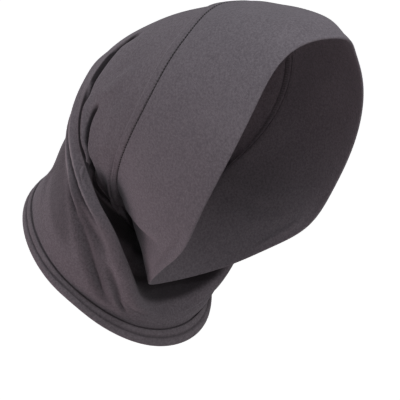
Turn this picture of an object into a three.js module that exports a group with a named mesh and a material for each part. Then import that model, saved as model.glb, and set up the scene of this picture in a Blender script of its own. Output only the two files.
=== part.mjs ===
// Hijab underscarf cap: a jersey tube worn under a headscarf.
// A wide double front band frames the face. A loose tube sewn to it covers the back of the head,
// slouches down behind in folds and ends in an elastic hem.
// Millimetres, +Z up, the face towards -Y and the wearer's left side towards +X.
// The origin is under the crown, where the cap sits on the head.
import * as THREE from "three";

// Driving sizes
const headLength = 190; // forehead to the back of the head, over the hair
const headBreadth = 150; // above the ears
const capDrop = 252; // crown to the lowest point of the hem
const bandWall = 1.8; // two layers of jersey
const tubeWall = 1.2; // one layer of jersey with its pile and curl
const hemWidth = 12;
const hemWall = 3.2; // jersey turned round a flat elastic
const allowanceWidth = 7; // overlocked cut edges behind the seam
const allowanceWall = 1.2;
const allowanceSetback = 1.5; // from the seam line to where the cut edges have full thickness
const foldHeight = 5;
const foldWidth = 8;
const clearance = 0.35; // between pieces that are sewn to each other

// Mesh fineness
const facetsAround = 72;
const probe = 1e-3; // step for slopes, in shares of the way round and of the way along
const strides = 6; // steps that measure a distance over the cloth

// Sections from the face edge to the hem. Each is a closed loop round the head, from the top of the
// middle plane down both sides to its low point at the nape.
// Lengths in Y, bow and sway are shares of headLength, in Z of capDrop and halfWidth of headBreadth.
// topRound and lowRound are the powers that square the loop above and below its middle.
// pinch draws the low sides in, as a share of the width. bow moves the sides towards the face, and
// sway moves the upper sides more than the lower ones. steps is the number of facets to the next row.
const sectionColumns = ["topY", "topZ", "lowY", "lowZ", "halfWidth",
  "topRound", "lowRound", "pinch", "bow", "sway", "steps"];
const sections = {
  faceEdge:   [-0.420, -0.080, 0.380, -0.820, 0.460, 0.80, 0.86, 0.05, 0.162, -0.015, 2],
  bandFront:  [-0.300, -0.015, 0.385, -0.755, 0.490, 0.77, 0.92, 0.03, 0.142, 0.000, 2],
  bandMiddle: [-0.125, 0.006, 0.405, -0.675, 0.505, 0.74, 0.96, 0.00, 0.115, 0.025, 2],
  seam:       [0.020, 0.004, 0.435, -0.595, 0.505, 0.68, 1.00, 0.00, 0.090, 0.042, 3],
  panel:      [0.295, -0.030, 0.500, -0.640, 0.500, 0.70, 1.00, 0.04, 0.115, 0.005, 4],
  crease:     [0.515, -0.120, 0.480, -0.730, 0.475, 0.72, 1.00, 0.42, 0.095, -0.010, 5],
  lip:        [0.620, -0.190, 0.370, -0.885, 0.515, 0.68, 0.75, 0.13, 0.142, -0.048, 4],
  hang:       [0.725, -0.320, 0.350, -0.915, 0.525, 0.80, 0.80, 0.04, 0.075, 0.000, 3],
  hangLow:    [0.840, -0.435, 0.350, -0.935, 0.510, 0.90, 0.90, 0.03, 0.025, 0.000, 2],
  hemTop:     [0.955, -0.500, 0.360, -0.955, 0.480, 0.95, 0.95, 0.03, 0.000, 0.000, 1],
  hemEdge:    [1.005, -0.530, 0.340, -1.000, 0.500, 1.00, 1.00, 0.02, 0.000, 0.000, 0],
};

// Folds of the tube, each a bent line from one place to another. around runs from 0 at the top to 1
// at the nape, and along counts sections from 0 at the face edge. bend and width are shares of
// foldWidth, height is a share of foldHeight and is negative in a groove. side is -1 for the wearer's
// right, 1 for the left and 0 for both.
const foldColumns = ["fromAround", "fromAlong", "toAround", "toAlong", "bend", "width", "height", "side"];
const folds = {
  napeCrease:    [0.16, 3.80, 0.60, 5.05, 3.0, 0.70, -0.55, 0],
  firstRidge:    [0.20, 5.15, 0.60, 6.40, 1.0, 0.75, 0.50, 0],
  firstGroove:   [0.22, 5.55, 0.58, 6.65, 0.8, 0.60, -0.60, -1],
  secondRidge:   [0.24, 5.95, 0.60, 7.00, 0.6, 0.60, 0.50, -1],
  secondGroove:  [0.26, 6.25, 0.62, 7.35, 0.6, 0.80, -0.45, -1],
  leftGroove:    [0.20, 5.70, 0.66, 6.90, 0.9, 0.90, -0.60, 1],
  leftRidge:     [0.24, 6.30, 0.62, 7.40, 0.6, 0.90, 0.40, 1],
  behindEar:     [0.42, 4.35, 0.46, 5.80, 0.3, 0.55, -0.50, 0],
  behindLobe:    [0.53, 4.35, 0.59, 5.10, 0.5, 0.50, -0.45, 0],
  sideStripe:    [0.50, 6.55, 0.72, 7.45, 0.5, 0.70, -0.55, -1],
  lowStripe:     [0.60, 6.60, 0.82, 8.20, 0.5, 0.70, -0.50, 0],
  middleBack:    [-0.10, 5.90, 0.22, 7.60, 0.6, 1.20, -0.40, 0],
  hemFlare:      [0.28, 7.30, 0.34, 9.00, 0.2, 0.80, -0.40, 0],
  hollowUpper:   [0.62, 5.20, 0.86, 5.05, 0.3, 0.80, 0.50, 0],
  hollowLower:   [0.66, 5.60, 0.95, 5.50, 0.3, 0.80, 0.50, 0],
};
const chartAround = 250; // length of half a loop, for distances between a fold and a place on the tube
const chartAlong = 28; // length from one section to the next

// Cross-section of the hem casing: shares of hemWidth down from the tube, and of hemWall outwards.
const casingColumns = ["down", "out"];
const casing = [[0, -0.3], [0, 0.3], [0.12, 0.5], [0.42, 0.5], [0.5, 0.36],
  [0.58, 0.5], [0.88, 0.5], [1, 0.22], [1, -0.22], [0.88, -0.5], [0.12, -0.5]];

const named = (columns, row) => Object.fromEntries(columns.map((column, i) => [column, row[i]]));
const place = Object.fromEntries(Object.keys(sections).map((name, i) => [name, i]));

// Each section in millimetres
const rings = Object.values(sections).map((row) => {
  const share = named(sectionColumns, row);
  return {
    ...share,
    topY: share.topY * headLength,
    topZ: share.topZ * capDrop,
    lowY: share.lowY * headLength,
    lowZ: share.lowZ * capDrop,
    halfWidth: share.halfWidth * headBreadth,
    bow: share.bow * headLength,
    sway: share.sway * headLength,
  };
});
const foldLines = Object.values(folds).map((row) => named(foldColumns, row));

const smoothstep = THREE.MathUtils.smoothstep;

// One column's value at a place between the sections, on a Catmull-Rom curve through them all
function between(column, along) {
  const last = rings.length - 1;
  const i = Math.min(Math.max(Math.floor(along), 0), last - 1);
  const t = along - i;
  const b = rings[i][column];
  const c = rings[i + 1][column];
  const a = i > 0 ? rings[i - 1][column] : 2 * b - c;
  const d = i < last - 1 ? rings[i + 2][column] : 2 * c - b;
  const linear = (c - a) * t;
  const square = (2 * a - 5 * b + 4 * c - d) * t * t;
  const cube = (3 * b - a - 3 * c + d) * t * t * t;
  return b + 0.5 * (linear + square + cube);
}

// Height of all folds at a place on the cloth
function foldLift(around, along, side) {
  let lift = 0;
  for (const fold of foldLines) {
    if (fold.side && fold.side !== side) continue;
    const x = (around - fold.fromAround) * chartAround;
    const y = (along - fold.fromAlong) * chartAlong;
    const dx = (fold.toAround - fold.fromAround) * chartAround;
    const dy = (fold.toAlong - fold.fromAlong) * chartAlong;
    const length = Math.hypot(dx, dy);
    const t = (x * dx + y * dy) / (length * length);
    if (t <= 0 || t >= 1) continue;
    const arch = 4 * t * (1 - t);
    const off = (y * dx - x * dy) / length - fold.bend * foldWidth * arch;
    const across = off / (fold.width * foldWidth);
    lift += fold.height * foldHeight * Math.sqrt(arch) * Math.exp(-across * across);
  }
  return lift;
}

// A point on the middle of the cloth without its folds. turn runs from 0 at the top of the middle
// plane down the wearer's right side to 1 at the nape and up the left side to 2.
function smoothCloth(turn, along) {
  const side = turn <= 1 ? -1 : 1;
  const around = turn <= 1 ? turn : 2 - turn;
  const u = Math.cos(Math.PI * around);
  const s = Math.max(Math.sin(Math.PI * around), 0);
  const ring = (column) => between(column, along);
  const halfY = (ring("topY") - ring("lowY")) / 2;
  const halfZ = (ring("topZ") - ring("lowZ")) / 2;
  const chord = Math.hypot(halfY, halfZ);
  const forward = (ring("bow") + 2 * ring("sway") * u) * s * s;
  const drawnIn = 1 - ring("pinch") * smoothstep(-u, 0.1, 0.8);
  const width = ring("halfWidth") * Math.pow(s, ring(u > 0 ? "topRound" : "lowRound")) * drawnIn;
  return new THREE.Vector3(
    side * width,
    ring("topY") - halfY * (1 - u) - (halfZ / chord) * forward,
    ring("topZ") - halfZ * (1 - u) + (halfY / chord) * forward,
  );
}

// The outward direction of a surface and its length per section, from its slopes
function slopes(surface, turn, along) {
  const turned = (step) => surface((turn + step + 2) % 2, along);
  const across = turned(probe).sub(turned(-probe));
  const down = surface(turn, along + probe).sub(surface(turn, along - probe));
  const out = new THREE.Vector3().crossVectors(down, across).normalize();
  return { out, reach: down.length() / (2 * probe) };
}

// A point on the middle of the cloth with its folds. Between the seam and the panel nothing is folded.
function cloth(turn, along) {
  const { out } = slopes(smoothCloth, turn, along);
  const side = turn <= 1 ? -1 : 1;
  const around = turn <= 1 ? turn : 2 - turn;
  const kept = smoothstep(along, place.seam, place.panel) * (1 - smoothstep(along, place.hangLow, place.hemTop));
  return smoothCloth(turn, along).addScaledVector(out, kept * foldLift(around, along, side));
}

// The place that lies a distance past a section, measured over the cloth in short strides
function past(turn, along, distance) {
  let reached = along;
  for (let i = 0; i < strides; i++) reached += distance / strides / slopes(smoothCloth, turn, reached).reach;
  return reached;
}

// A point beside the cloth
function beside(turn, along, lift) {
  const { out } = slopes(cloth, turn, along);
  return cloth(turn, along).addScaledVector(out, lift);
}

// A closed solid from rings of points: section[j](turn) is point j of the cross-section at a turn
function ringSolid(name, section, material) {
  const count = section.length;
  const points = [];
  for (let i = 0; i < facetsAround; i++) {
    const turn = (2 * i) / facetsAround;
    for (const corner of section) points.push(...corner(turn).toArray());
  }
  const faces = [];
  for (let i = 0; i < facetsAround; i++) {
    const here = i * count;
    const next = ((i + 1) % facetsAround) * count;
    for (let j = 0; j < count; j++) {
      const k = (j + 1) % count;
      faces.push(here + j, next + k, next + j, here + j, here + k, next + k);
    }
  }
  const geometry = new THREE.BufferGeometry();
  geometry.setAttribute("position", new THREE.Float32BufferAttribute(points, 3));
  geometry.setIndex(faces);
  geometry.computeVertexNormals();
  const mesh = new THREE.Mesh(geometry, material);
  mesh.name = name;
  return mesh;
}

// A wall of cloth. Each row is a place along the cloth and a lift off it, both for a turn.
function wall(rows, thickness, foldedEdge = 0) {
  const half = thickness / 2;
  const face = (sign) => ({ along, lift = () => 0 }) => (turn) =>
    beside(turn, along(turn), lift(turn) + sign * half);
  const outer = rows.map(face(1));
  const inner = rows.map(face(-1)).reverse();
  const nose = (turn) => beside(turn, past(turn, rows[0].along(turn), -foldedEdge), 0);
  return foldedEdge ? [nose, ...outer, ...inner] : [...outer, ...inner];
}

// Rows from one section to another, with the number of steps that each section names
function rowsBetween(first, last) {
  const rows = [];
  for (let i = first; i < last; i++) {
    for (let k = 0; k < rings[i].steps; k++) rows.push({ along: () => i + k / rings[i].steps });
  }
  return rows;
}

const jersey = (color) => new THREE.MeshStandardMaterial({ color, roughness: 0.95, metalness: 0 });

// The band is folded at the face edge and its two layers meet again in the seam.
function frontBand() {
  const rows = rowsBetween(place.faceEdge, place.seam);
  const foldedEdge = bandWall / 2;
  rows[0] = { along: (turn) => past(turn, place.faceEdge, foldedEdge) };
  rows.push({ along: (turn) => past(turn, place.seam, -clearance / 2) });
  return ringSolid("front_band", wall(rows, bandWall, foldedEdge), jersey(0x5f5a60));
}

// The tube rises over the cut edges behind the seam, then follows the sections to the hem.
const ridge = [
  { distance: clearance / 2, lift: 0 },
  { distance: allowanceSetback, lift: allowanceWall },
  { distance: allowanceWidth, lift: allowanceWall },
  { distance: allowanceWidth + allowanceSetback, lift: 0 },
];

function slouchTube() {
  const ridgeRows = ridge.map(({ distance, lift }) => ({
    along: (turn) => past(turn, place.seam, distance),
    lift: () => lift,
  }));
  const ridgeEnd = ridgeRows.at(-1).along;
  const panelSteps = rings[place.seam].steps + rings[place.panel].steps;
  const panelRows = [];
  for (let k = 1; k < panelSteps; k++) {
    const share = k / panelSteps;
    panelRows.push({ along: (turn) => ridgeEnd(turn) * (1 - share) + place.crease * share });
  }
  const rest = rowsBetween(place.crease, place.hemTop);
  const end = { along: (turn) => past(turn, place.hemTop, -clearance) };
  const rows = [...ridgeRows, ...panelRows, ...rest, end];
  return ringSolid("slouch_tube", wall(rows, tubeWall), jersey(0x5a555b));
}

// The overlocked cut edges lie under the ridge, against the head.
function seamAllowance() {
  const lift = ridge[1].lift - (tubeWall + allowanceWall) / 2 - clearance;
  const rows = [ridge[1], ridge[2]].map(({ distance }) => ({
    along: (turn) => past(turn, place.seam, distance),
    lift: () => lift,
  }));
  return ringSolid("seam_allowance", wall(rows, allowanceWall), jersey(0x4f4a50));
}

// The casing goes on from the end of the tube, past the hem's top.
function hemCasing() {
  const corners = casing.map((row) => named(casingColumns, row));
  const section = corners.map(({ down, out }) => (turn) =>
    beside(turn, past(turn, place.hemTop, down * hemWidth), out * hemWall));
  return ringSolid("hem_casing", section, jersey(0x565157));
}

const underscarf = new THREE.Group();
underscarf.name = "hijab_underscarf_cap";
underscarf.add(frontBand(), seamAllowance(), slouchTube(), hemCasing());

export default underscarf;
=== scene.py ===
import math

import bpy
import numpy as np
from mathutils import Matrix


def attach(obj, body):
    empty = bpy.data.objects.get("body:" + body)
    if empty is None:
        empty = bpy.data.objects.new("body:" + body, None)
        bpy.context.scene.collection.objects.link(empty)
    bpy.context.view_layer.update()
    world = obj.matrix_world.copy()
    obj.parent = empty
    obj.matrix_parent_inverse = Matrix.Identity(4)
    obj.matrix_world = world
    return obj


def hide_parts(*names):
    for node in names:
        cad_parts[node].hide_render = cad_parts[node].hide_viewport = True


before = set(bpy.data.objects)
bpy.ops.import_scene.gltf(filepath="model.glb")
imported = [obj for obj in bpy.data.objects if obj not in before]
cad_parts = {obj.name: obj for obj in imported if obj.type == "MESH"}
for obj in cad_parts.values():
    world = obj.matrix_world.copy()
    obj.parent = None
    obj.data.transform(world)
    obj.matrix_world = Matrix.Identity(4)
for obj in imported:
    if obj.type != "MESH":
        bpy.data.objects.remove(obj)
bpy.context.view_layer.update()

# The shape of the cloth
# All pieces lie on one surface: closed loops from the face edge to the hem. A loop runs from the top
# of the middle plane down both sides to its low point behind. LEFT_TEMPLE is how much closer the face
# edge lies to the middle plane high up on the left. PROBE is the step for slopes, in turns and in
# sections, and STRIDES the number of steps that measure a distance over the cloth.
MM = 0.001
HEAD_LENGTH = 0.190
HEAD_BREADTH = 0.150
CAP_DROP = 0.252
BAND_WALL = 0.0018
TUBE_WALL = 0.0012
CLEARANCE = 0.00035
LEFT_TEMPLE = 0.0030
PROBE = 1e-3
STRIDES = 6

# Lengths in Y, and bow to cheek, are shares of HEAD_LENGTH, in Z of CAP_DROP, half_width is one of
# HEAD_BREADTH. top_round and low_round square the loop where they are below 1, pinch draws its low
# sides in, bow and sway move its sides forwards, brow and cheek do so high up and low down.
SECTION_COLUMNS = ["top_y", "top_z", "low_y", "low_z", "half_width",
                   "top_round", "low_round", "pinch", "bow", "sway", "brow", "cheek"]
SECTIONS = {
    "face_edge":   [-0.420, -0.080, 0.380, -0.820, 0.460, 0.74, 0.86, 0.05, 0.162, -0.015, -0.018, 0.026],
    "band_front":  [-0.302, -0.024, 0.385, -0.755, 0.490, 0.75, 0.92, 0.03, 0.142, -0.004, -0.006, 0.010],
    "band_middle": [-0.127, 0.000, 0.405, -0.675, 0.505, 0.75, 0.96, 0.00, 0.112, 0.012, 0.000, 0.000],
    "seam":        [0.018, 0.003, 0.435, -0.595, 0.505, 0.74, 0.90, 0.00, 0.082, 0.022, 0.014, 0.000],
    "panel":       [0.287, -0.041, 0.500, -0.640, 0.500, 0.70, 1.00, 0.04, 0.112, 0.000, 0.000, 0.000],
    "crease":      [0.512, -0.120, 0.480, -0.730, 0.490, 0.72, 1.00, 0.52, 0.078, -0.010, 0.000, 0.000],
    "lip":         [0.576, -0.207, 0.370, -0.885, 0.510, 0.72, 0.75, 0.13, 0.090, -0.086, 0.020, 0.024],
    "hang":        [0.696, -0.324, 0.350, -0.915, 0.522, 0.82, 0.80, 0.04, 0.075, 0.000, 0.000, 0.000],
    "hang_low":    [0.800, -0.444, 0.350, -0.935, 0.516, 0.90, 0.90, 0.03, 0.025, 0.000, 0.000, 0.000],
    "hem_top":     [0.905, -0.515, 0.360, -0.955, 0.496, 0.90, 0.94, 0.03, 0.001, -0.012, -0.006, 0.000],
    "hem_edge":    [0.955, -0.546, 0.340, -1.003, 0.516, 0.90, 0.98, 0.02, 0.000, -0.012, -0.012, 0.018],
}
PLACE = {name: float(i) for i, name in enumerate(SECTIONS)}
SCALES = np.array([HEAD_LENGTH, CAP_DROP, HEAD_LENGTH, CAP_DROP, HEAD_BREADTH, 1, 1, 1,
                   HEAD_LENGTH, HEAD_LENGTH, HEAD_LENGTH, HEAD_LENGTH])
SHARES = np.array(list(SECTIONS.values())) * SCALES
RINGS = dict(zip(SECTION_COLUMNS, SHARES.T))


def smoothstep(value, low, high):
    """0 below low, 1 above high, and a smooth S between them."""
    t = np.clip((value - low) / (high - low), 0, 1)
    return t * t * (3 - 2 * t)


def bell(value, centre, width):
    """1 at the centre, falling smoothly on both sides, to 0.37 a width away."""
    return np.exp(-(((value - centre) / width) ** 2))


def catmull_rom(before, here, after, later, t):
    """The place at share t between here and after on a smooth curve through four values."""
    square = 2 * before - 5 * here + 4 * after - later
    cube = 3 * here - before - 3 * after + later
    return here + 0.5 * ((after - before) * t + square * t**2 + cube * t**3)


def between(column, along):
    """A section value at a place between the sections, on a smooth curve through all of them."""
    values = RINGS[column]
    first, last = 2 * values[0] - values[1], 2 * values[-1] - values[-2]
    a = np.concatenate([[first], values, [last]])
    i = np.clip(np.floor(along).astype(int), 0, len(values) - 2)
    return catmull_rom(a[i], a[i + 1], a[i + 2], a[i + 3], along - i)


def smooth_cloth(turn, along):
    """The cloth without folds. turn is 0 at the top, 1 at the low point and 2 at the top again, right
    side first. With u and s the cosine and sine of pi times turn, a point lies on the chord from the top
    point to the low point at share (1 - u) / 2, moved off the chord by (bow + 2 sway u) s squared
    and by bells of height brow and cheek, and half_width times s to the power of the roundness away
    from the middle plane, less a bell of LEFT_TEMPLE where the face edge lies closer on the left."""
    side = np.where(turn <= 1, -1.0, 1.0)
    around = np.where(turn <= 1, turn, 2 - turn)
    u = np.cos(np.pi * around)
    s = np.maximum(np.sin(np.pi * around), 0)
    v = {column: between(column, along) for column in SECTION_COLUMNS}
    half_y = (v["top_y"] - v["low_y"]) / 2
    half_z = (v["top_z"] - v["low_z"]) / 2
    chord = np.hypot(half_y, half_z)
    forward = (v["bow"] + 2 * v["sway"] * u) * s * s
    forward = forward + v["brow"] * bell(around, 0.18, 0.10) * smoothstep(s, 0, 0.3)
    forward = forward + v["cheek"] * bell(around, 0.60, 0.08)
    drawn_in = 1 - v["pinch"] * smoothstep(-u, 0.1, 0.8)
    width = v["half_width"] * s ** np.where(u > 0, v["top_round"], v["low_round"]) * drawn_in
    temple = bell(around, 0.16, 0.07) * bell(along, 0, 0.9)
    width = width - np.where(turn > 1, LEFT_TEMPLE, 0.0) * temple
    y = v["top_y"] - half_y * (1 - u) - half_z / chord * forward
    z = v["top_z"] - half_z * (1 - u) + half_y / chord * forward
    return np.stack([side * width, y, z], axis=-1)


def unit(vectors):
    """Vectors made one long."""
    return vectors / np.maximum(np.linalg.norm(vectors, axis=-1, keepdims=True), 1e-12)


def slopes(turn, along):
    """The outward direction of the smooth cloth and its length per section, from its slopes."""
    across = smooth_cloth((turn + PROBE) % 2, along) - smooth_cloth((turn - PROBE) % 2, along)
    down = smooth_cloth(turn, along + PROBE) - smooth_cloth(turn, along - PROBE)
    return unit(np.cross(down, across)), np.linalg.norm(down, axis=-1) / (2 * PROBE)


def past(turn, along, distance):
    """The place that lies a distance past a section, measured over the cloth in short strides."""
    reached = along + np.zeros(np.broadcast(turn, distance).shape)
    for _ in range(STRIDES):
        reached = reached + distance / STRIDES / slopes(turn, reached)[1]
    return reached


def beside_seam(turn, distance, lift):
    """A point a distance behind the seam and a lift off the cloth. Nothing is folded there."""
    along = past(turn, PLACE["seam"], distance)
    return smooth_cloth(turn, along) + slopes(turn, along)[0] * np.asarray(lift)[..., None]


# Folds
# Each is a curve on the cloth, from place to place down one side: around is 0 at the top and 1 at the
# low point, along counts sections. height is off the cloth, negative in a groove, and face_width and
# rear_width are the reach of its slopes, all in millimetres. A ridge with a tuck is a pleat: it leans
# over to the rear and the cloth behind it dips by that share of its height. The number after the tuck
# is painted shade: how dark the cloth is painted where it closes on itself, 0 where it lies open and 1
# where it is closed. The rows in the hollow at the nape and on the hanging bag paint the shade that a
# head inside would cast. A row with painted shade and a height under a millimetre is there for its
# painted shade alone.
FOLD_COLUMNS = ["side", "height", "face_width", "rear_width", "tuck", "painted_shading", "path"]
SIDES = {"right": [1], "left": [-1], "both": [1, -1]}
FOLDS = {
    "main crease": ["right", -6.0, 2.0, 1.7, 0.0, 0.95,
                    [(0.14, 3.95), (0.16, 4.18), (0.18, 4.46), (0.22, 4.62), (0.26, 4.77), (0.29, 4.92),
                     (0.33, 5.06), (0.37, 5.18)]],
    "dark of the main crease": ["right", -0.3, 1.6, 2.0, 0.0, 0.95,
                                [(0.135, 3.90), (0.15, 4.10), (0.165, 4.26), (0.20, 4.58), (0.24, 4.74),
                                 (0.28, 4.91), (0.31, 5.03)]],
    "crease under the roll": ["right", -7.0, 2.2, 3.2, 0.0, 0.95,
                              [(0.28, 4.88), (0.33, 5.06), (0.37, 5.19), (0.42, 5.28), (0.47, 5.34),
                               (0.54, 5.36)]],
    "shade beside it": ["right", -0.8, 2.0, 2.8, 0.0, 0.95,
                        [(0.26, 4.84), (0.29, 4.99), (0.31, 5.09), (0.33, 5.21), (0.345, 5.32),
                         (0.36, 5.38), (0.38, 5.45), (0.40, 5.51), (0.43, 5.50), (0.46, 5.50),
                         (0.50, 5.56), (0.53, 5.66), (0.56, 5.74)]],
    "roll below it": ["right", 3.5, 2.6, 2.6, 0.0, 0.0,
                      [(0.32, 4.78), (0.36, 4.94), (0.40, 5.06), (0.44, 5.14), (0.49, 5.18)]],
    "ear crease": ["right", -5.5, 1.8, 2.2, 0.0, 0.9,
                   [(0.37, 4.50), (0.395, 4.72), (0.42, 4.88), (0.45, 4.97), (0.49, 5.02)]],
    "panel edge": ["right", -6.0, 1.5, 2.6, 0.0, 0.95,
                   [(0.46, 5.04), (0.49, 4.98), (0.52, 4.90), (0.545, 4.78), (0.57, 4.74), (0.60, 4.84),
                    (0.64, 4.86), (0.68, 4.84), (0.73, 4.74), (0.80, 4.66)]],
    "below the panel edge": ["right", -5.0, 3.0, 6.0, 0.0, 0.95,
                             [(0.48, 5.06), (0.52, 5.04), (0.57, 5.00), (0.61, 5.01), (0.66, 5.06),
                              (0.72, 4.98), (0.82, 4.84)]],
    "first ridge": ["right", 3.4, 6.0, 2.0, 0.9, 0.6,
                    [(0.15, 4.60), (0.165, 5.05), (0.19, 5.44), (0.24, 5.66), (0.30, 5.84), (0.35, 5.98),
                     (0.40, 6.07), (0.46, 6.15), (0.53, 6.26), (0.62, 6.34)]],
    "second ridge": ["right", 3.4, 6.0, 2.2, 0.9, 0.5,
                     [(0.155, 5.40), (0.18, 5.86), (0.22, 6.14), (0.28, 6.32), (0.34, 6.46), (0.41, 6.62),
                      (0.48, 6.80), (0.54, 7.05)]],
    "panel wave": ["right", 1.2, 7.0, 5.0, 0.0, 0.0,
                   [(0.29, 3.72), (0.32, 3.90), (0.335, 4.08), (0.355, 4.30), (0.375, 4.52)]],
    "low panel wave": ["right", 1.0, 6.0, 5.0, 0.0, 0.0,
                       [(0.39, 3.86), (0.42, 4.02), (0.46, 4.12), (0.51, 4.22), (0.56, 4.36)]],
    "side stripe": ["right", -3.2, 5.0, 4.0, 0.0, 0.2,
                    [(0.44, 6.74), (0.52, 6.95), (0.60, 7.05), (0.69, 7.40), (0.74, 7.90)]],
    "front stripe": ["right", -3.0, 4.6, 4.0, 0.0, 0.2,
                     [(0.47, 6.66), (0.53, 6.68), (0.60, 6.60), (0.67, 6.62)]],
    "low stripe": ["right", -2.6, 4.6, 4.2, 0.0, 0.2,
                   [(0.62, 6.64), (0.69, 6.70), (0.75, 6.86), (0.80, 7.40), (0.82, 8.10)]],
    "hem rim": ["right", 1.6, 3.0, 2.4, 0.0, 0.0,
                [(0.27, 7.40), (0.26, 7.90), (0.27, 8.10), (0.31, 8.25), (0.36, 8.50)]],
    "left main crease": ["left", -8.0, 2.8, 2.0, 0.0, 0.9,
                         [(0.13, 3.85), (0.17, 4.24), (0.22, 4.66), (0.28, 4.94), (0.35, 5.22),
                          (0.44, 5.38)]],
    "left roll": ["left", 4.4, 3.4, 3.2, 0.0, 0.0,
                  [(0.29, 4.62), (0.34, 4.90), (0.39, 5.10), (0.44, 5.26)]],
    "left ear crease": ["left", -5.0, 1.9, 2.4, 0.0, 0.8,
                        [(0.40, 4.28), (0.42, 4.60), (0.44, 4.88), (0.47, 5.10)]],
    "left lobe crease": ["left", -4.5, 1.8, 2.4, 0.0, 0.7,
                         [(0.55, 4.60), (0.57, 4.78), (0.61, 4.88)]],
    "left first ridge": ["left", 3.2, 5.5, 2.0, 0.9, 0.6,
                         [(0.15, 4.80), (0.19, 5.40), (0.27, 5.84), (0.37, 6.12), (0.48, 6.26),
                          (0.60, 6.32)]],
    "left second ridge": ["left", 3.0, 6.0, 2.2, 0.9, 0.5,
                          [(0.18, 5.90), (0.25, 6.36), (0.34, 6.58), (0.44, 6.72), (0.56, 6.84)]],
    "left panel wave": ["left", 1.4, 6.0, 3.6, 0.6, 0.0,
                        [(0.31, 3.70), (0.35, 3.96), (0.38, 4.22), (0.40, 4.46)]],
    "left stripe": ["left", -3.6, 4.2, 3.4, 0.0, 0.3,
                    [(0.46, 6.96), (0.53, 7.14), (0.62, 7.30), (0.68, 7.80)]],
    "left low stripe": ["left", -3.2, 4.2, 3.6, 0.0, 0.3,
                        [(0.62, 6.60), (0.70, 6.86), (0.76, 7.40), (0.80, 8.10)]],
    "middle hollow": ["both", -2.0, 9.0, 9.0, 0.0, 0.0,
                      [(-0.16, 6.30), (0.00, 5.90), (0.10, 6.60), (0.20, 7.60)]],
    "back fold": ["both", 2.2, 6.0, 3.0, 0.6, 0.2,
                  [(-0.05, 7.30), (0.06, 6.90), (0.15, 7.30), (0.21, 8.10)]],
    "nape hollow": ["both", -12.0, 8.0, 7.0, 0.0, 0.9,
                    [(0.46, 5.30), (0.54, 5.42), (0.62, 5.52), (0.72, 5.55), (0.84, 5.50),
                     (0.96, 5.45)]],
    "slouch shade": ["both", -0.8, 12.0, 12.0, 0.0, 0.22,
                     [(0.36, 5.50), (0.42, 5.60), (0.48, 5.68), (0.56, 5.76), (0.66, 5.84),
                      (0.78, 5.90)]],
    "lip shade": ["right", -0.3, 9.0, 16.0, 0.0, 0.38,
                  [(0.34, 6.10), (0.40, 6.20), (0.46, 6.32), (0.53, 6.46), (0.60, 6.60), (0.68, 6.90),
                   (0.73, 7.25), (0.78, 7.70), (0.82, 8.20)]],
    "bag shade": ["right", -0.3, 9.0, 14.0, 0.0, 0.34,
                  [(0.10, 6.20), (0.20, 6.60), (0.27, 6.84), (0.34, 7.02), (0.42, 7.16),
                   (0.50, 7.24), (0.60, 7.36)]],
    "hollow wall": ["both", -0.5, 6.0, 7.0, 0.0, 0.9,
                    [(0.52, 5.06), (0.57, 5.06), (0.62, 5.06), (0.68, 5.06), (0.76, 4.94), (0.86, 4.84),
                     (1.30, 4.80)]],
    "nape shade": ["both", -0.5, 10.0, 9.0, 0.0, 0.9,
                   [(0.60, 5.50), (0.80, 5.50), (0.96, 5.42), (1.30, 5.40)]],
    "hollow fold": ["both", 2.0, 4.0, 3.0, 0.0, 0.0,
                    [(0.62, 5.10), (0.68, 5.12), (0.76, 5.05), (0.88, 5.00)]],
}
BAND_FOLDS = {
    "stretch line": ["right", 0.22, 4.0, 1.6, 0.0, 0.0,
                     [(0.25, 1.18), (0.33, 1.14), (0.41, 1.10), (0.47, 1.08), (0.54, 0.94),
                      (0.60, 0.86)]],
    "cheek crease": ["right", -1.3, 3.6, 3.0, 0.0, 0.1,
                     [(0.56, 0.30), (0.60, 0.24), (0.65, 0.26), (0.70, 0.20), (0.76, 0.16)]],
    "corner fold": ["right", 1.4, 3.0, 6.0, 0.0, 0.0,
                    [(0.62, 0.60), (0.65, 0.86), (0.675, 1.12), (0.70, 1.46), (0.72, 1.80), (0.75, 2.35),
                     (0.78, 2.95)]],
    "under the corner": ["right", -3.2, 9.0, 3.4, 0.0, 0.0,
                         [(0.66, 0.50), (0.69, 0.84), (0.72, 1.20), (0.745, 1.60), (0.77, 2.10),
                          (0.80, 2.70)]],
    "left stretch line": ["left", 0.22, 1.6, 4.0, 0.0, 0.0,
                          [(0.28, 1.50), (0.36, 1.42), (0.45, 1.30), (0.53, 1.16), (0.60, 1.00)]],
    "left cheek crease": ["left", -1.1, 3.4, 3.0, 0.0, 0.1,
                          [(0.58, 0.34), (0.63, 0.28), (0.69, 0.24), (0.75, 0.18)]],
    "left bulge": ["left", 1.2, 5.0, 4.0, 0.0, 0.0,
                   [(0.64, 0.80), (0.70, 1.40), (0.74, 2.00), (0.78, 2.70)]],
}

# The cloth as a flat chart, for distances between a fold and a place: metres round half a loop, and
# from one section to the next.
CHART = np.array([0.250, 0.028])

# A fold's other sizes. A pleat's dip lies behind it and its top slides to the rear by a share of its
# height. The painted shade lies on its rear slope, and a painted highlight, a thin light line, on its
# crest. Where a distance or a width has no unit, it counts in widths of the rear slope.
PATH_STEPS = 6
DIP_PLACE = 2.1
DIP_WIDTH = 1.2
LEAN = 0.7
DARK_PLACE = 0.8
DARK_WIDTH = 0.75
CREST_BEFORE = 0.0006
CREST_WIDTH = 0.0012
CREST_LIGHT = 0.8


def curve_through(points, steps):
    """A smooth curve through points, with a number of steps between each two."""
    p = np.array(points, dtype=float)
    p = np.vstack([2 * p[0] - p[1], p, 2 * p[-1] - p[-2]])
    t = np.linspace(0, 1, steps, endpoint=False)[:, None]
    pieces = [catmull_rom(*four, t) for four in zip(p[:-3], p[1:-2], p[2:-1], p[3:])]
    return np.vstack([*pieces, p[-2:-1]])


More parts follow.
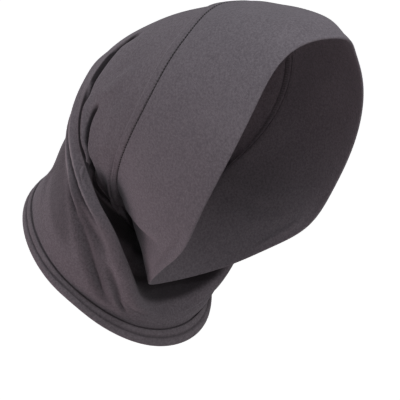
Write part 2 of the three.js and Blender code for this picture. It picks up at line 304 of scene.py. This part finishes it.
def nearest_on(path, places):
    """The signed distance of places from a path, its share of the path's length, and the unit vector
    across the path, from the nearest of its straight steps."""
    steps = np.diff(path, axis=0)
    lengths = np.linalg.norm(steps, axis=1)
    starts = np.concatenate([[0], np.cumsum(lengths)[:-1]])
    best = np.full(places.shape[:-1], 1e9)
    signed = np.zeros_like(best)
    share = np.zeros_like(best)
    across = np.zeros_like(places)
    for start, step, length, travelled in zip(path, steps, lengths, starts):
        ahead = step / length
        normal = np.array([-ahead[1], ahead[0]])
        offset = places - start
        run = np.clip(offset @ ahead, 0, length)
        apart = np.linalg.norm(offset - run[..., None] * ahead, axis=-1)
        closer = apart < best
        best = np.where(closer, apart, best)
        signed = np.where(closer, np.where(offset @ normal > 0, apart, -apart), signed)
        share = np.where(closer, (travelled + run) / lengths.sum(), share)
        across = np.where(closer[..., None], normal, across)
    return signed, share, across


def fold_lift(rows, turn, along):
    """The lift of the cloth by its folds, the slide of its pleats to the rear, and the painted shade
    where it closes, less than 0 for a painted highlight on the crest of a pleat. Across the path a fold
    is a bell whose two sides have their own widths, a tuck a second bell."""
    turn, along = np.broadcast_arrays(turn, along)
    around = np.where(turn <= 1, turn, turn - 2)
    lift = np.zeros(turn.shape)
    painted_shading = np.zeros(turn.shape)
    crest = np.zeros(turn.shape)
    slide = np.zeros(turn.shape + (2,))
    for row in rows.values():
        fold = dict(zip(FOLD_COLUMNS, row))
        path = curve_through(fold["path"], PATH_STEPS) * CHART
        rear = fold["rear_width"] * MM
        height = fold["height"] * MM
        for side in SIDES[fold["side"]]:
            places = np.stack([around * side, along], axis=-1) * CHART
            off, share, across = nearest_on(path, places)
            width = np.where(off > 0, rear, fold["face_width"] * MM)
            ends = smoothstep(share, 0, 0.3) * smoothstep(1 - share, 0, 0.3)
            rise = ends * bell(off, 0, width)
            dip = ends * bell(off, DIP_PLACE * rear, DIP_WIDTH * rear)
            lift += height * (rise - fold["tuck"] * dip)
            slide += across * [side, 1] * (LEAN * fold["tuck"] * height * rise)[..., None]
            # Painted shade on the rear slope of each fold, and a painted highlight along the crest of a
            # pleat.
            wall = ends * bell(off, DARK_PLACE * rear, DARK_WIDTH * rear)
            painted_shading = np.maximum(painted_shading, fold["painted_shading"] * smoothstep(wall, 0.1, 0.7))
            painted_crest_line = ends * bell(off, -CREST_BEFORE, CREST_WIDTH)
            crest = np.maximum(crest, smoothstep(fold["tuck"], 0.6, 0.9) * painted_crest_line)
    return lift, slide, painted_shading - CREST_LIGHT * crest * (1 - painted_shading)


def folded_cloth(turn, along):
    """The tube's cloth with its folds, and the painted shade and highlight of its folds."""
    kept = smoothstep(along, PLACE["seam"] + 0.35, PLACE["panel"])
    kept = kept * (1 - smoothstep(along, PLACE["hang_low"], PLACE["hem_top"]))
    lift, slide, painted_shading = fold_lift(FOLDS, turn, along)
    shifted = slide * kept[..., None] / CHART
    moved_turn = (turn + shifted[..., 0]) % 2
    moved_along = along + shifted[..., 1]
    out = slopes(moved_turn, moved_along)[0]
    return smooth_cloth(moved_turn, moved_along) + out * (kept * lift)[..., None], kept * painted_shading


def ripple(turn, along):
    """Slack of the cloth: three crossing waves of low height, whole numbers of them round the loop."""
    t = np.pi * turn
    first = np.sin(9 * t + 3.1 * along) * np.sin(2.3 * along + 0.7)
    second = np.sin(17 * t - 4.7 * along + 1.3) * np.sin(1.7 * along + 2.1)
    third = np.sin(5 * t + 1.9 * along + 0.4)
    return 0.00022 * first + 0.00012 * second + 0.00035 * third


# Meshes
# The knit is laid out on a loop of LOOP_ROUND metres.
LOOP_ROUND = 0.52


def even_turns(count, start=0):
    """Even places round the loop, the first one a share of a step past the top."""
    return ((np.arange(count) + start) * 2 / count)[:, None]


def squared(wave, power):
    """A sine or cosine with its sign kept, squarer the lower the power."""
    return np.sign(wave) * np.abs(wave) ** power


def mesh_piece(name, points, faces, corners=None):
    """A smooth mesh object from points, quads and the place of each corner on the flat cloth."""
    mesh = bpy.data.meshes.new(name)
    mesh.vertices.add(len(points))
    mesh.vertices.foreach_set("co", np.ascontiguousarray(points, dtype=np.float32).ravel())
    mesh.loops.add(faces.size)
    mesh.loops.foreach_set("vertex_index", faces.astype(np.int32).ravel())
    mesh.polygons.add(len(faces))
    mesh.polygons.foreach_set("loop_start", np.arange(0, faces.size, 4, dtype=np.int32))
    mesh.polygons.foreach_set("loop_total", np.full(len(faces), 4, dtype=np.int32))
    mesh.polygons.foreach_set("use_smooth", np.ones(len(faces), dtype=bool))
    if corners is not None:
        uv = mesh.uv_layers.new(name="cloth")
        uv.data.foreach_set("uv", corners.astype(np.float32).ravel())
    mesh.update(calc_edges=True)
    mesh.validate()
    obj = bpy.data.objects.new(name, mesh)
    bpy.context.scene.collection.objects.link(obj)
    return obj


def ring_piece(name, rings, painted_shading=None):
    """A closed ring of cloth. rings holds, for each turn, the points of a closed cross-section. Its UV
    is in metres: round the loop, and over the cross-section. Its point attribute holds painted shade,
    1 for near-black painted shade in a closed crease, and below 0 a painted highlight on a pleat's crest."""
    rounds, count = rings.shape[:2]
    i, j = np.meshgrid(np.arange(rounds), np.arange(count), indexing="ij")
    next_i, next_j = i + 1, j + 1
    quad = [(i, j), (i, next_j), (next_i, next_j), (next_i, j)]
    faces = np.stack([(a % rounds) * count + b % count for a, b in quad], axis=-1).reshape(-1, 4)
    steps = np.linalg.norm(np.roll(rings, -1, axis=1) - rings, axis=-1).mean(axis=0)
    over = np.concatenate([[0], np.cumsum(steps)])
    corners = np.stack([np.stack([a * LOOP_ROUND / rounds, over[b]], axis=-1) for a, b in quad], axis=2)
    obj = mesh_piece(name, rings.reshape(-1, 3), faces, corners.reshape(-1, 2))
    # Painted shade and highlight for each point, none where no values are given.
    painted_point_shading = np.zeros(rounds * count) if painted_shading is None else painted_shading.ravel()
    obj.data.attributes.new("painted_shading", "FLOAT", "POINT").data.foreach_set("value", painted_point_shading.astype(np.float32))
    return obj


def threads(name, paths, radius, sides=6):
    """Short threads as one mesh: round tubes of a radius along paths, each an open row of points."""
    runs = np.gradient(paths, axis=1)
    ahead = unit(runs)
    hint = unit(paths - paths.mean(axis=1, keepdims=True) + np.array([0.11, 0.07, 0.93]))
    aside = unit(np.cross(ahead, hint))
    above = np.cross(aside, ahead)
    angle = np.arange(sides) * 2 * np.pi / sides
    taper = np.ones(paths.shape[1])
    taper[[0, -1]] = 0.35
    circle = np.cos(angle)[:, None] * aside[:, :, None] + np.sin(angle)[:, None] * above[:, :, None]
    points = paths[:, :, None] + radius * taper[:, None, None] * circle
    count, length = paths.shape[:2]
    n, k, m = np.meshgrid(np.arange(count), np.arange(length - 1), np.arange(sides), indexing="ij")
    here = (n * length + k) * sides
    faces = np.stack([here + m, here + (m + 1) % sides,
                      here + sides + (m + 1) % sides, here + sides + m], axis=-1)
    return mesh_piece(name, points.reshape(-1, 3), faces.reshape(-1, 4))


class Value:
    """A shader number. Arithmetic on it adds one Math node for each step."""

    def __init__(self, surface, socket):
        self.surface, self.socket = surface, socket

    def step(self, operation, *others):
        """The result of a Math node that takes this number first."""
        node = self.surface.nodes.new("ShaderNodeMath")
        node.operation = operation
        for entry, value in zip(node.inputs, (self, *others)):
            if isinstance(value, Value):
                self.surface.links.new(value.socket, entry)
            else:
                entry.default_value = value
        return Value(self.surface, node.outputs[0])

    def __add__(self, other):
        return self.step("ADD", other)

    def __sub__(self, other):
        return self.step("SUBTRACT", other)

    def __mul__(self, other):
        return self.step("MULTIPLY", other)

    def sine(self):
        return self.step("SINE")

    def size(self):
        return self.step("ABSOLUTE")


class Surface:
    """A node material with one Principled shader."""

    def __init__(self, name, **constants):
        self.material = bpy.data.materials.new(name)
        self.material.use_nodes = True
        tree = self.material.node_tree
        self.nodes, self.links = tree.nodes, tree.links
        self.shader = self.nodes["Principled BSDF"]
        for entry, value in constants.items():
            self.shader.inputs[entry.replace("_", " ")].default_value = value

    def node(self, kind, inputs=(), **settings):
        """A new node with its settings, its inputs set to a number or fed by a socket."""
        made = self.nodes.new(kind)
        for key, value in settings.items():
            setattr(made, key, value)
        for key, value in dict(inputs).items():
            if isinstance(value, Value):
                self.links.new(value.socket, made.inputs[key])
            elif isinstance(value, bpy.types.NodeSocket):
                self.links.new(value, made.inputs[key])
            else:
                made.inputs[key].default_value = value
        return made

    def noise(self, scale, detail=2.0, roughness=0.5):
        """Noise between 0 and 1, fixed to the object."""
        place = self.node("ShaderNodeTexCoord").outputs["Object"]
        made = self.node("ShaderNodeTexNoise",
                         {"Vector": place, "Scale": scale, "Detail": detail, "Roughness": roughness})
        return Value(self, made.outputs[0])

    def cloth_place(self):
        """The place on the flat cloth in metres, round the loop and over the cross-section."""
        split = self.node("ShaderNodeSeparateXYZ",
                          {"Vector": self.node("ShaderNodeUVMap", uv_map="cloth").outputs[0]})
        return Value(self, split.outputs["X"]), Value(self, split.outputs["Y"])

    def blend(self, share, first, second):
        """A colour between the first at share 0 and the second at share 1."""
        made = self.node("ShaderNodeMix", data_type="RGBA")
        self.links.new(share.socket, made.inputs[0])
        made.inputs[6].default_value = (*first, 1)
        if isinstance(second, bpy.types.NodeSocket):
            self.links.new(second, made.inputs[7])
        else:
            made.inputs[7].default_value = (*second, 1)
        return made.outputs[2]

    def bump(self, height, depth, strength):
        """Makes the surface look raised by a height times a depth in metres."""
        made = self.node("ShaderNodeBump", {"Height": height, "Distance": depth, "Strength": strength})
        self.links.new(made.outputs[0], self.shader.inputs["Normal"])


# The knit
# WALE and COURSE are the sizes of a loop of the knit, round the cap and down it.
WALE = 0.0009
COURSE = 0.0011
# The colour and share of the painted shade in creases, and the colour of the painted highlight on crests.
PAINTED_SHADE_SHARE = 0.92
PAINTED_SHADE_COLOUR = (0.004, 0.003, 0.004)
PAINTED_HIGHLIGHT_COLOUR = (0.250, 0.222, 0.240)


def jersey(name, light, dark):
    """Fine cotton jersey: V loops in wales and courses, a soft fuzz, pills, faint shade changes, a
    painted near-black shade where it closes on itself and a painted highlight on the crest of a pleat."""
    cloth = Surface(name, Sheen_Weight=0.12, Sheen_Roughness=0.45, Sheen_Tint=(0.85, 0.80, 0.86, 1),
                    Specular_IOR_Level=0.12)
    around, over = cloth.cloth_place()
    wale = (around * (2 * math.pi / WALE)).sine()
    slant = wale.size() * 0.5
    course = ((over * (2 * math.pi / COURSE)) + slant * 2.0).sine()
    fuzz = cloth.noise(1500, 3.0, 0.7)
    soft = cloth.noise(16, 2.0, 0.5)
    pill = cloth.noise(650, 2.0, 0.6)
    shade = (soft - 0.5) * 0.8 + (fuzz - 0.5) * 2.0 + (pill - 0.5) * 2.4 + wale * 0.05 + 0.5
    colour = cloth.blend(shade.step("MINIMUM", 1.0).step("MAXIMUM", 0.0), dark, light)
    # Painted shade from the point attribute darkens the colour towards near black; below 0 it paints a
    # highlight.
    painted_shading = Value(cloth, cloth.node("ShaderNodeAttribute", attribute_name="painted_shading").outputs["Fac"])
    colour = cloth.blend((painted_shading * -PAINTED_SHADE_SHARE + 1.0).step("MINIMUM", 1.0), PAINTED_SHADE_COLOUR, colour)
    colour = cloth.blend((painted_shading + 1.0).step("MINIMUM", 1.0), PAINTED_HIGHLIGHT_COLOUR, colour)
    cloth.links.new(colour, cloth.shader.inputs["Base Color"])
    rough = (fuzz - 0.5) * 0.12 + 0.92
    cloth.links.new(rough.socket, cloth.shader.inputs["Roughness"])
    knit = wale.size() * 0.35 + course * 0.18 + fuzz * 0.55 + pill * 0.5
    cloth.bump(knit, 0.00016, 0.8)
    return cloth.material


# Front band
# One wide strip of jersey folded double, its fold at the face edge and its two raw edges in the seam.
# It is stretched when worn, so it is smooth, with a soft roll at the fold. At the seam it is rounded
# off over SEAM_ROUNDING.
BAND_ROUNDS = 420
BAND_WIDTH = 0.085
SEAM_ROUNDING = 0.0014
BAND_COLOURS = {"light": (0.128, 0.116, 0.129), "dark": (0.084, 0.075, 0.085)}

turns = even_turns(BAND_ROUNDS)
half = BAND_WALL / 2
front = past(turns, PLACE["face_edge"], half)
rear = past(turns, PLACE["seam"], -CLEARANCE / 2)
share = np.concatenate([np.linspace(0, 0.06, 6)[:-1], np.linspace(0.06, 0.93, 46),
                        np.linspace(0.93, 1, 9)[1:]])[None]
along = front * (1 - share) + rear * share
to_fold = share * BAND_WIDTH
to_seam = (1 - share) * BAND_WIDTH
edge_roll = 0.00016 * bell(to_fold, 0.0045, 0.0025)
edge_roll = edge_roll - 0.0001 * bell(to_fold, 0.010, 0.003)
rounded = half * (1 - np.sqrt(np.clip(1 - (1 - np.clip(to_seam / SEAM_ROUNDING, 0, 1)) ** 2, 0, 1)))
out = slopes(turns, along)[0]
middle = smooth_cloth(turns, along)
slack = ripple(turns, along) * smoothstep(to_fold, 0, 0.02) * smoothstep(to_seam, 0, 0.02)
lift, _, painted_shading = fold_lift(BAND_FOLDS, turns, along)
slack = slack + lift * smoothstep(to_fold, 0, 0.008) * smoothstep(to_seam, 0, 0.006)
outer = middle + out * (half + edge_roll - rounded + slack)[..., None]
inner = middle - out * (half - rounded * 0.6 - slack)[..., None]
angle = np.linspace(-np.pi / 2, np.pi / 2, 9)[1:-1]
nose_along = past(turns, front, -half * np.cos(angle)[None])
nose_out = slopes(turns, nose_along)[0]
nose = smooth_cloth(turns, nose_along) + nose_out * (half * np.sin(angle))[None, :, None]
# Painted shade in the band's creases on its outside; the fold at the face edge and the inside get none.
painted_point_shading = np.concatenate([0 * nose[..., 0], painted_shading, 0 * inner[..., 0]], axis=1)
band = ring_piece("front_band_jersey", np.concatenate([nose, outer, inner[:, ::-1]], axis=1), painted_point_shading)
band.data.materials.append(jersey("band jersey", **BAND_COLOURS))
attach(band, "root")
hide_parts("front_band")

# Seam stitching
# Dark sewing thread shows in the ditch of the seam as a row of short stitches. SEAM_PER_TURN is the
# length of half the seam, which one turn goes over. run goes from end to end of a stitch, which
# slants a little and dips into the cloth at both ends.
SEAM_ROUND = 0.525
SEAM_PER_TURN = 0.262
SEAM_STITCH = 0.0024
SEAM_THREAD_RADIUS = 0.00055
count = round(SEAM_ROUND / SEAM_STITCH)
turns = even_turns(count, 0.5)
run = np.array([-1.0, -0.6, 0, 0.6, 1.0])[None]
stitch_turns = (turns + run * 0.0005 / SEAM_PER_TURN) % 2
paths = beside_seam(stitch_turns, 0.0001 + run * 0.00020, 0.00085 - 0.0007 * run**2)
seam_thread = threads("seam_stitches", paths, SEAM_THREAD_RADIUS)
thread = Surface("seam thread", Base_Color=(0.014, 0.012, 0.014, 1), Sheen_Weight=0.1)
rough = thread.noise(2500, 2.0) * 0.3 + 0.6
thread.links.new(rough.socket, thread.shader.inputs["Roughness"])
seam_thread.data.materials.append(thread.material)
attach(seam_thread, "root")

# Cut edges
# The raw edges of band and tube are overlocked together and lie flat behind the seam, inside.
EDGE_ROUNDS = 420
EDGE_SIDES = 28
EDGE_PLACE = 0.00425
EDGE_HALF_WIDTH = 0.00275
EDGE_LIFT = -0.00035
EDGE_HALF_WALL = 0.0006
EDGE_COLOURS = {"light": (0.120, 0.108, 0.120), "dark": (0.075, 0.066, 0.075)}
turns = even_turns(EDGE_ROUNDS)
angle = np.arange(EDGE_SIDES) * 2 * np.pi / EDGE_SIDES
flat_x = squared(np.cos(angle), 0.35)
flat_z = squared(np.sin(angle), 0.6)
split = 0.12 * bell(flat_z, 0, 0.3) * (flat_x > 0.5)
distance = EDGE_PLACE + EDGE_HALF_WIDTH * (flat_x - split)
lift = EDGE_LIFT - EDGE_HALF_WALL * flat_z
wave = 0.00012 * np.sin(97 * np.pi * turns) * (flat_x > 0)
edges = ring_piece("cut_edges", beside_seam(turns, distance + wave, lift + 0 * turns))
edges.data.materials.append(jersey("cut edge jersey", **EDGE_COLOURS))
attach(edges, "root")
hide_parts("seam_allowance")

# Each loop of the overlock thread goes over the edge once: along its inside, round its rear and back
# over its outside, while it moves on by a little more than one step.
OVERLOCK_STITCH = 0.0021
OVERLOCK_RADIUS = 0.00018
count = round(SEAM_ROUND / OVERLOCK_STITCH)
turns = even_turns(count, 0.5)
loop_distance = np.array([3.0, 4.2, 5.6, 7.0, 7.35, 7.0, 6.0, 5.0])[None] * MM
loop_lift = np.array([-1.0, -1.12, -1.12, -1.05, -0.35, 0.30, 0.34, 0.2])[None] * MM
loop_turn = np.array([0, 0.2, 0.45, 0.7, 0.8, 0.9, 1.1, 1.2])[None] / count
loops = beside_seam((turns + loop_turn) % 2, loop_distance, loop_lift)
overlock = threads("overlock_thread", loops, OVERLOCK_RADIUS, 5)
overlock.data.materials.append(thread.material)
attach(overlock, "root")

# Slouch tube
# One layer of jersey from the seam to the hem. It rises over the cut edges, lies smooth behind them,
# is drawn in low down and hangs behind as a loose bag with slanting folds. It starts TUBE_LEAD before
# the seam and ends HEM_LAP past the top of the hem casing. Low down on both sides the ridge curls up.
TUBE_ROUNDS = 480
TUBE_LEAD = 0.0005
RIDGE_END = 0.0090
RIDGE_HEIGHT = 0.0012
CURL_HEIGHT = 0.0022
DITCH_DEPTH = 0.0006
HEM_LAP = 0.0009
HEM_DIP = 0.0007
TUBE_COLOURS = {"light": (0.126, 0.113, 0.126), "dark": (0.080, 0.070, 0.079)}


def tube_rows(turns, counts):
    """Places along the tube: some distances behind the seam over the ridge, then steps from section
    to section and on to the hem, a count for each stretch."""
    near = np.array([0.00, 0.12, 0.3, 0.6, 1.0, 1.5, 2.2, 3.2, 4.6, 6.0, 6.8, 7.3, 7.8, 8.3]) * MM
    near = near[:: counts["near"]] - TUBE_LEAD
    rows = [past(turns, PLACE["seam"], near[None])]
    stops = [past(turns, PLACE["seam"], np.array([[RIDGE_END]]))]
    stops += [np.full_like(turns, PLACE[name]) for name in ("panel", "crease", "lip", "hang", "hang_low")]
    stops += [past(turns, PLACE["hem_top"], np.array([[HEM_LAP]]))]
    for first, last, count in zip(stops[:-1], stops[1:], counts["far"]):
        share = np.linspace(0, 1, count, endpoint=False)[None]
        rows.append(first * (1 - share) + last * share)
    return np.concatenate([*rows, stops[-1]], axis=1)


def tube_middle(turns, along):
    """The middle of the tube's wall, with its ditch at the seam, its ridge over the cut edges, its folds
    and its slack, its dip at the hem, and its painted shade: in its folds, behind the curl of the ridge
    and along the top of the hem casing, with a painted highlight on the crests of pleats."""
    distance = (along - PLACE["seam"]) * slopes(turns, np.full_like(along, PLACE["seam"] + 0.1))[1]
    curl = bell(np.minimum(turns, 2 - turns), 0.76, 0.06)
    ridge = smoothstep(distance, 0.0003, 0.0016) * (1 - smoothstep(distance, 0.0066, 0.0086))
    ridge = ridge * (RIDGE_HEIGHT + CURL_HEIGHT * curl)
    slack = ripple(turns, along) * smoothstep(distance, 0.008, 0.03)
    slack = slack * (1 - 0.7 * smoothstep(along, PLACE["hang_low"], PLACE["hem_top"]))
    ditch = smoothstep(-distance, -0.0013, 0)
    # Painted shade just behind the ridge where it curls up.
    behind = 0.6 * curl * bell(distance, 0.0088, 0.0010)
    to_hem = (PLACE["hem_top"] - along) * slopes(turns, np.full_like(along, PLACE["hem_top"] - 0.1))[1]
    dip = bell(to_hem, 0, 0.0016)
    middle, painted_shading = folded_cloth(turns, along)
    out = slopes(turns, along)[0]
    painted_shading = painted_shading + behind * (1 - painted_shading)
    # Painted shade along the edge of the hem casing, where the tube runs into it.
    painted_shading = painted_shading + 0.75 * bell(to_hem, 0, 0.0011) * (1 - painted_shading)
    return middle + out * (ridge + slack - DITCH_DEPTH * ditch - HEM_DIP * dip)[..., None], painted_shading


def grid_normals(points):
    """The outward directions of a grid of points that is closed round the loop."""
    across = np.roll(points, -1, axis=0) - np.roll(points, 1, axis=0)
    down = np.gradient(points, axis=1)
    return unit(np.cross(down, across))


# The rounds stand closest together at the sides, where most folds are, and widest at the low point.
turns = even_turns(TUBE_ROUNDS)
turns = turns + 0.2 / (2 * np.pi) * np.sin(2 * np.pi * turns) - 0.3 / np.pi * np.sin(np.pi * turns)
outer_middle, painted_shading = tube_middle(turns, tube_rows(turns, {"near": 1, "far": [10, 33, 35, 26, 13, 11]}))
inner_middle, _ = tube_middle(turns, tube_rows(turns, {"near": 3, "far": [5, 12, 12, 8, 6, 5]}))
half = TUBE_WALL / 2
outer = outer_middle + grid_normals(outer_middle) * half
inner = inner_middle - grid_normals(inner_middle) * half
# The outside carries the painted shade and highlight of the folds, the inside none.
painted_point_shading = np.concatenate([painted_shading, np.zeros(inner.shape[:2])], axis=1)
tube = ring_piece("slouch_tube_jersey", np.concatenate([outer, inner[:, ::-1]], axis=1), painted_point_shading)
tube.data.materials.append(jersey("tube jersey", **TUBE_COLOURS))
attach(tube, "root")
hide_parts("slouch_tube")

# Hem casing
# The end of the tube turned in round a flat elastic and sewn down along its middle, at the share
# HEM_SEWN of its width, so that it stands as two soft rolls.
HEM_WIDTH = 0.012
HEM_WALL = 0.0038
HEM_SEWN = 0.47
HEM_ROUNDS = 420
HEM_SIDES = 56
HEM_COLOURS = {"light": (0.132, 0.117, 0.129), "dark": (0.086, 0.075, 0.084)}


def beside_hem(turn, down, out_share):
    """A point a share of the hem's width past its top, and a share of its wall off the cloth."""
    along = past(turn, PLACE["hem_top"], down * HEM_WIDTH)
    lift = np.asarray(out_share) * HEM_WALL
    return smooth_cloth(turn, along) + slopes(turn, along)[0] * lift[..., None]


turns = even_turns(HEM_ROUNDS)
angle = np.pi + np.arange(HEM_SIDES) * 2 * np.pi / HEM_SIDES
down = 0.5 + 0.5 * squared(np.cos(angle), 0.70)
bulge = -squared(np.sin(angle), 0.62)
seat = bell(down, HEM_SEWN, 0.075) * (bulge > 0)
pucker = 0.025 * np.sin(61 * np.pi * turns) * np.sin(3 * np.pi * turns + 0.5)
out_share = 0.5 * bulge - 0.30 * seat + pucker * np.sin(np.pi * down)
# Painted shade in the sewn line between the two rolls and along the casing's top edge.
painted_point_shading = np.maximum(0.55 * seat, 0.5 * (down < 0.02)) + 0 * turns
hem = ring_piece("hem_casing_jersey", beside_hem(turns, down + 0 * turns, out_share), painted_point_shading)
hem.data.materials.append(jersey("hem jersey", **HEM_COLOURS))
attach(hem, "root")
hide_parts("hem_casing")

# The stitches of the hem, sizes as in the seam
HEM_ROUND = 0.495
HEM_PER_TURN = 0.25
HEM_STITCH = 0.0030
HEM_THREAD_RADIUS = 0.00026
count = round(HEM_ROUND / HEM_STITCH)
turns = even_turns(count, 0.5)
run = np.array([-1.0, -0.5, 0, 0.5, 1.0])[None]
stitch_turns = (turns + run * 0.0010 / HEM_PER_TURN) % 2
paths = beside_hem(stitch_turns, np.full((1, 1), HEM_SEWN), 0.24 - 0.10 * run**2)
hem_thread = threads("hem_stitches", paths, HEM_THREAD_RADIUS)
hem_thread.data.materials.append(thread.material)
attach(hem_thread, "root")

# Floor, light and camera
# A pale floor that lies well below and glows far off, a soft light above, three weaker ones from the
# side and below, and the view of the photograph: from the wearer's front right, a little above.
FLOOR_HALF = 40
FLOOR_DROP = 1.45
WORLD_COLOUR = (0.97, 0.98, 1.0, 1)
WORLD_STRENGTH = 0.33
LIGHT_SIZE = 0.8
LIGHT_TARGET = (0, 0.05, -0.12)
LIGHT_COLUMNS = ["place", "power", "colour"]
LIGHTS = {
    "key": [(-0.20, -0.68, 0.98), 14.8, (0.98, 0.98, 1.0)],
    "side fill": [(-0.90, 0.90, -0.50), 6.5, (1.0, 0.82, 0.87)],
    "warm fill": [(-0.30, -1.00, -0.55), 1.0, (1.0, 0.62, 0.60)],
    "low fill": [(-0.45, 0.42, -1.05), 2.5, (1.0, 0.58, 0.62)],
}
CAMERA_AZIMUTH = -48
CAMERA_ELEVATION = 3
CAMERA_DISTANCE = 1.4
CAMERA_RIGHT = -0.0287
CAMERA_UP = -0.1372

floor_corners = np.array([[-1, -1, 0], [1, -1, 0], [1, 1, 0], [-1, 1, 0]])
floor_points = floor_corners * FLOOR_HALF + [0, 0, -FLOOR_DROP]
floor = mesh_piece("floor", floor_points, np.array([[0, 1, 2, 3]]))
ground = Surface("pale floor", Roughness=0.9, Emission_Strength=1.0)
tone = ground.blend(ground.noise(3, 2.0), (0.78, 0.78, 0.78), (0.80, 0.80, 0.80))
ground.links.new(tone, ground.shader.inputs["Base Color"])
place = ground.node("ShaderNodeTexCoord").outputs["Object"]
far = Value(ground, ground.node("ShaderNodeVectorMath", {0: place}, operation="LENGTH").outputs["Value"])
far = ground.node("ShaderNodeMapRange", {"Value": far, "From Min": 2.0, "From Max": 5.0},
                  interpolation_type="SMOOTHSTEP")
glow = ground.blend(Value(ground, far.outputs[0]), (0.0, 0.0, 0.0), (0.78, 0.78, 0.78))
ground.links.new(glow, ground.shader.inputs["Emission Color"])
floor.data.materials.append(ground.material)

world = bpy.data.worlds.new("studio")
bpy.context.scene.world = world
world.use_nodes = True
world.node_tree.nodes["Background"].inputs["Color"].default_value = WORLD_COLOUR
world.node_tree.nodes["Background"].inputs["Strength"].default_value = WORLD_STRENGTH


def aim(obj, place, target):
    """Puts a camera or light at a place, looking at a target with its top up."""
    z = unit(np.array(place, dtype=float) - np.array(target, dtype=float))
    x = unit(np.cross([0, 0, 1], z))
    y = np.cross(z, x)
    rows = [[x[i], y[i], z[i], place[i]] for i in range(3)] + [[0, 0, 0, 1]]
    obj.matrix_world = Matrix([[float(value) for value in row] for row in rows])


for name, row in LIGHTS.items():
    values = dict(zip(LIGHT_COLUMNS, row))
    lamp = bpy.data.lights.new(name, "AREA")
    lamp.shape = "DISK"
    lamp.size = LIGHT_SIZE
    lamp.energy = values["power"]
    lamp.color = values["colour"]
    holder = bpy.data.objects.new(name, lamp)
    bpy.context.scene.collection.objects.link(holder)
    aim(holder, values["place"], LIGHT_TARGET)

azimuth, elevation = math.radians(CAMERA_AZIMUTH), math.radians(CAMERA_ELEVATION)
back = np.array([math.sin(azimuth) * math.cos(elevation),
                 -math.cos(azimuth) * math.cos(elevation), math.sin(elevation)])
right = np.array([math.cos(azimuth), math.sin(azimuth), 0])
up = np.cross(back, right)
camera_data = bpy.data.cameras.new("camera")
camera_data.lens = 180
camera_data.sensor_width = 36
camera = bpy.data.objects.new("camera", camera_data)
bpy.context.scene.collection.objects.link(camera)
aim(camera, back * CAMERA_DISTANCE, right * CAMERA_RIGHT + up * CAMERA_UP)
bpy.context.scene.camera = camera
bpy.context.scene.view_settings.view_transform = "Standard"
